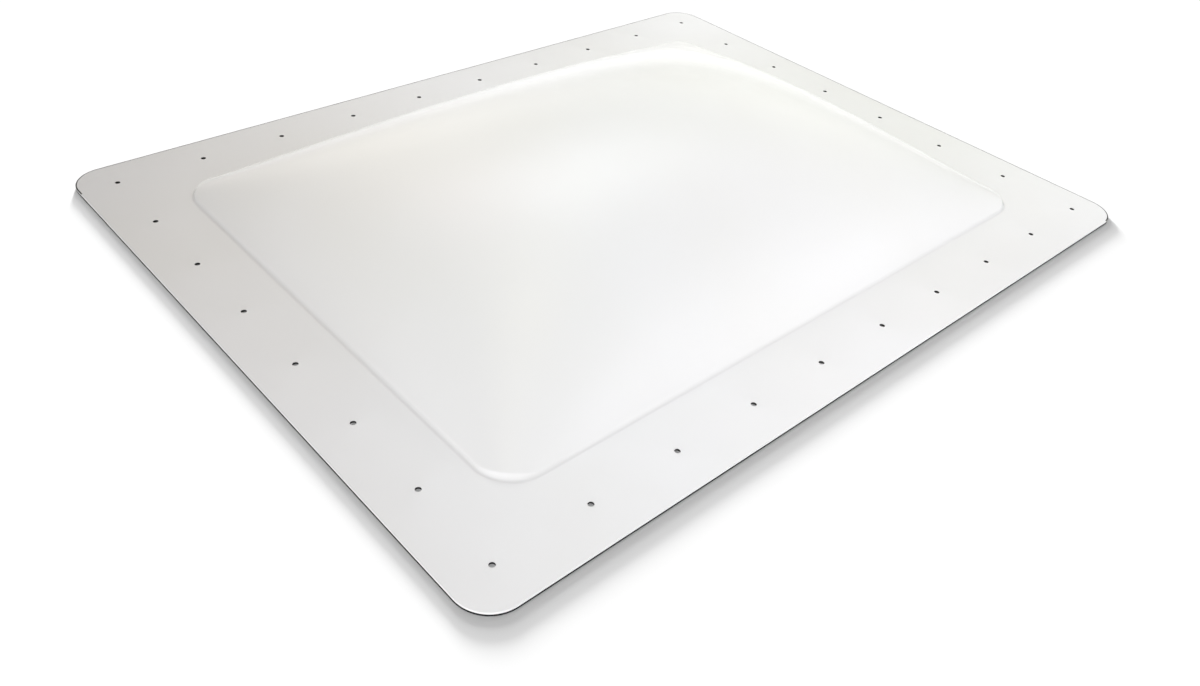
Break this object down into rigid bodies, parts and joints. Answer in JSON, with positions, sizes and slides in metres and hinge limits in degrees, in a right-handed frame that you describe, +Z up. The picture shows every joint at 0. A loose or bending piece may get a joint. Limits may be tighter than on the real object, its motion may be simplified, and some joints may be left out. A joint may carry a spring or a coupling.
{
  "type": "roof skylight",
  "caption": "Rectangular roof skylight: a shallow opal plastic dome blown up from a flat drilled flange, on four dark sealing strips.",
  "frame": {"origin": "middle of the skylight on the roof plane, the underside of the sealing strips", "axes": "+X along the long side, +Y along the short side, +Z up out of the roof"},
  "size_m": [0.9144, 0.7112, 0.1009],
  "materials": {
    "opal_sheet": "gloss opal white polycarbonate",
    "seal_foam": "matt closed-cell sealing tape"
  },
  "bodies": {
    "root": {"dome_shell": "opal_sheet", "seal_strip_front": "seal_foam", "seal_strip_rear": "seal_foam", "seal_strip_left": "seal_foam", "seal_strip_right": "seal_foam"}
  },
  "joints": []
}
